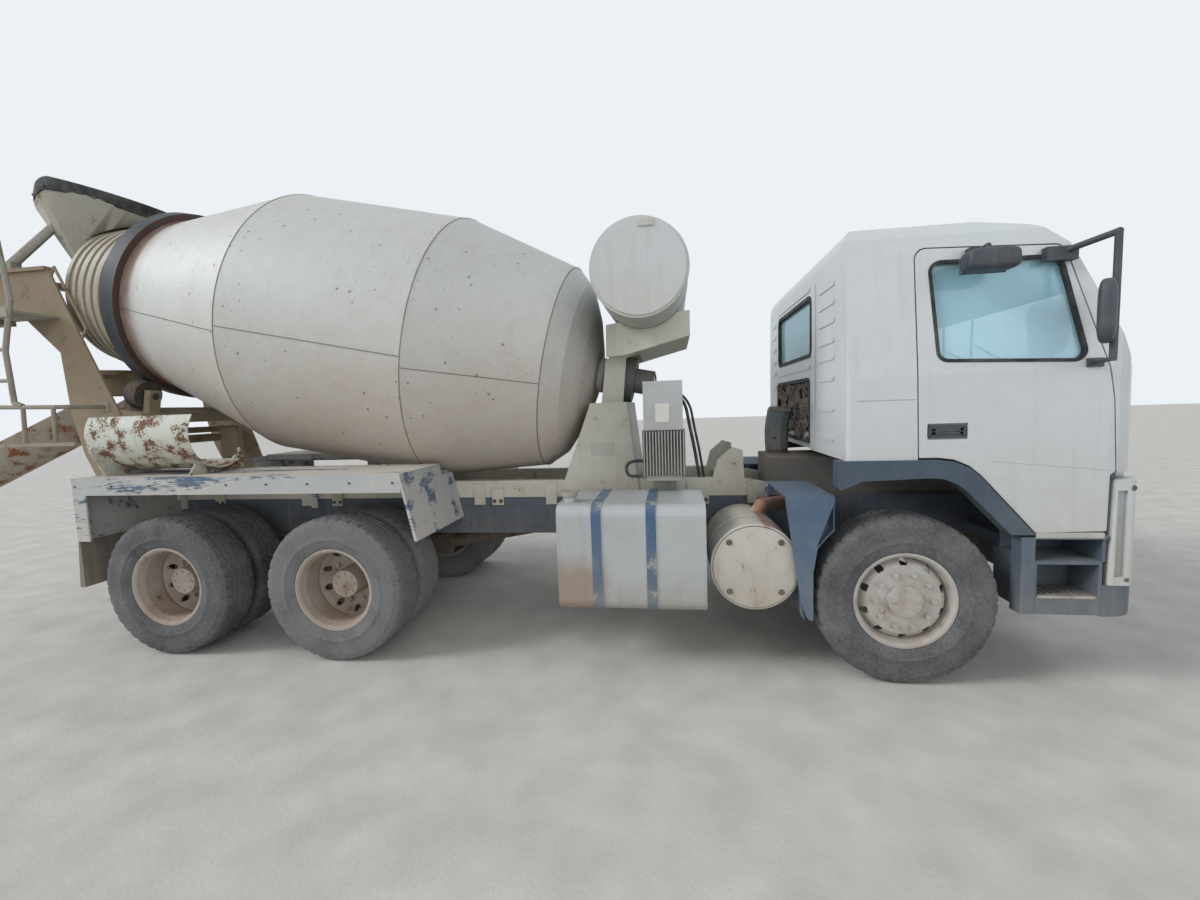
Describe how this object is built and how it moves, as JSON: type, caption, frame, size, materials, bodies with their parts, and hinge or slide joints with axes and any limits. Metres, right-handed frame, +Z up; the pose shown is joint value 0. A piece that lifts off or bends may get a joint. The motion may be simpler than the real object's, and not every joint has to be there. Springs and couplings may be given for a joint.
{
  "type": "concrete mixer truck",
  "caption": "Three-axle concrete mixer truck with tilting cab, turning drum on rollers, charging hopper, swinging discharge chute, steering and twin driven wheels.",
  "frame": {"origin": "on the ground, at the middle of the truck's length and width", "axes": "+X forward along the truck, +Y to its left, +Z up"},
  "size_m": [9.4912, 3.08, 4.0708],
  "materials": {
    "cab_white": "dusty cool white paint",
    "drum_paint": "warm off-white paint with dust and specks",
    "tan_steel": "sandy tan, coated in dried concrete",
    "khaki_steel": "pale khaki paint, dusty",
    "rail_paint": "dark blue-grey frame paint with reddish dust",
    "deck_grey": "pale grey steel with worn blue paint",
    "blue_plastic": "blue-grey moulded plastic, faded",
    "dark_steel": "dusty dark cast steel",
    "engine_grey": "plain block",
    "tank_metal": "dull, dirty",
    "silencer_beige": "dusty heat-faded cover",
    "tank_white": "white paint, dusty",
    "cooler_metal": "painted box and bare fins",
    "spare_paint": "white paint flaking to brown rust",
    "tyre": "worn and dusty",
    "rim_grey": "dusty grey wheel paint",
    "rubber": "mud flap rubber",
    "lamp_glass": "ribbed lamp glass, red at the tail",
    "glass": "clear with dust",
    "trim_dark": "dark interior plastic",
    "seat_cloth": "dark cloth",
    "chute_steel": "dry concrete and rust"
  },
  "bodies": {
    "chassis": {"chassis_rails": "rail_paint", "subframe": "khaki_steel", "leaf_springs": "dark_steel", "front_axle": "dark_steel", "rear_axles": "dark_steel", "engine": "engine_grey", "propshafts": "dark_steel", "fuel_tank": "tank_metal", "silencer": "silencer_beige", "battery_box": "rail_paint", "bumper": "blue_plastic", "corner_panels": "cab_white", "front_mudguards": "blue_plastic", "rear_fenders": "deck_grey", "mudflaps": "rubber", "front_pedestal": "khaki_steel", "drum_drive": "engine_grey", "water_tank": "tank_white", "oil_cooler": "cooler_metal", "rear_pedestal": "tan_steel", "hopper": "tan_steel", "spare_chute": "spare_paint", "ladder": "tan_steel", "lamps": "lamp_glass"},
    "knuckle_left": {"knuckle_left": "dark_steel"},
    "knuckle_right": {"knuckle_right": "dark_steel"},
    "tie_rod": {"tie_rod": "dark_steel"},
    "wheel_front_left": {"tyre_front_left": "tyre", "rim_front_left": "rim_grey"},
    "wheel_front_right": {"tyre_front_right": "tyre", "rim_front_right": "rim_grey"},
    "wheels_middle_left": {"tyres_middle_left": "tyre", "rims_middle_left": "rim_grey"},
    "wheels_middle_right": {"tyres_middle_right": "tyre", "rims_middle_right": "rim_grey"},
    "wheels_rear_left": {"tyres_rear_left": "tyre", "rims_rear_left": "rim_grey"},
    "wheels_rear_right": {"tyres_rear_right": "tyre", "rims_rear_right": "rim_grey"},
    "drum": {"drum": "drum_paint"},
    "roller_left": {"roller_left": "dark_steel"},
    "roller_right": {"roller_right": "dark_steel"},
    "chute_carrier": {"chute_carrier": "tan_steel"},
    "main_chute": {"main_chute": "chute_steel"},
    "cab": {"cab_floor": "trim_dark", "cab_back": "cab_white", "cab_sides": "cab_white", "cab_roof": "cab_white", "cab_front": "cab_white", "arch_flares": "blue_plastic", "cab_glass": "glass", "dashboard": "trim_dark", "seats": "seat_cloth"},
    "door_left": {"door_left": "cab_white", "door_glass_left": "glass", "mirror_left": "blue_plastic"},
    "door_right": {"door_right": "cab_white", "door_glass_right": "glass", "mirror_right": "blue_plastic"}
  },
  "joints": [
    {"name": "steer_left", "type": "hinge", "parent": "chassis", "child": "knuckle_left", "pos_m": [3.46057, 0.93, 0.526], "axis": [0, 0, 1], "range_deg": [-38, 38]},
    {"name": "steer_right", "type": "hinge", "parent": "chassis", "child": "knuckle_right", "pos_m": [3.46057, -0.93, 0.526], "axis": [0, 0, 1], "range_deg": [-38, 38]},
    {"name": "tie_rod_swing", "type": "hinge", "parent": "knuckle_left", "child": "tie_rod", "pos_m": [3.27057, 0.93, 0.43], "axis": [0, 0, 1], "range_deg": [-38, 38]},
    {"name": "roll_front_left", "type": "hinge", "parent": "knuckle_left", "child": "wheel_front_left", "pos_m": [3.46057, 1.09, 0.526], "axis": [0, 1, 0], "continuous": true},
    {"name": "roll_middle_left", "type": "hinge", "parent": "chassis", "child": "wheels_middle_left", "pos_m": [-0.34943, 1.09, 0.526], "axis": [0, 1, 0], "continuous": true},
    {"name": "roll_rear_left", "type": "hinge", "parent": "chassis", "child": "wheels_rear_left", "pos_m": [-1.71943, 1.09, 0.526], "axis": [0, 1, 0], "continuous": true},
    {"name": "roll_front_right", "type": "hinge", "parent": "knuckle_right", "child": "wheel_front_right", "pos_m": [3.46057, -1.09, 0.526], "axis": [0, 1, 0], "continuous": true},
    {"name": "roll_middle_right", "type": "hinge", "parent": "chassis", "child": "wheels_middle_right", "pos_m": [-0.34943, -1.09, 0.526], "axis": [0, 1, 0], "continuous": true},
    {"name": "roll_rear_right", "type": "hinge", "parent": "chassis", "child": "wheels_rear_right", "pos_m": [-1.71943, -1.09, 0.526], "axis": [0, 1, 0], "continuous": true},
    {"name": "drum_spin", "type": "hinge", "parent": "chassis", "child": "drum", "pos_m": [1.47357, 0, 2.045], "axis": [-0.9799, 0, 0.1994], "continuous": true},
    {"name": "roller_spin_left", "type": "hinge", "parent": "chassis", "child": "roller_left", "pos_m": [-2.57377, 0.50283, 2.01444], "axis": [-0.9799, 0, 0.1994], "continuous": true},
    {"name": "roller_spin_right", "type": "hinge", "parent": "chassis", "child": "roller_right", "pos_m": [-2.57377, -0.50283, 2.01444], "axis": [-0.9799, 0, 0.1994], "continuous": true},
    {"name": "chute_swing", "type": "hinge", "parent": "chassis", "child": "chute_carrier", "pos_m": [-3.35943, 0, 1.6], "axis": [0, 0, 1], "range_deg": [-95, 30]},
    {"name": "chute_tilt", "type": "hinge", "parent": "chute_carrier", "child": "main_chute", "pos_m": [-3.50039, -0.0513, 1.65], "axis": [-0.342, 0.9397, 0], "range_deg": [-12, 20]},
    {"name": "cab_tilt", "type": "hinge", "parent": "chassis", "child": "cab", "pos_m": [4.72257, 0, 1.283], "axis": [0, 1, 0], "range_deg": [0, 60]},
    {"name": "door_swing_left", "type": "hinge", "parent": "cab", "child": "door_left", "pos_m": [4.56757, 1.226, 1.7], "axis": [0, 0, -1], "range_deg": [0, 70]},
    {"name": "door_swing_right", "type": "hinge", "parent": "cab", "child": "door_right", "pos_m": [4.56757, -1.226, 1.7], "axis": [0, 0, 1], "range_deg": [0, 70]}
  ],
  "couplings": [
    {"joint": "steer_right", "follows": "steer_left", "ratio": 1},
    {"joint": "tie_rod_swing", "follows": "steer_left", "ratio": -1},
    {"joint": "roller_spin_left", "follows": "drum_spin", "ratio": -6.808},
    {"joint": "roller_spin_right", "follows": "drum_spin", "ratio": -6.808}
  ]
}
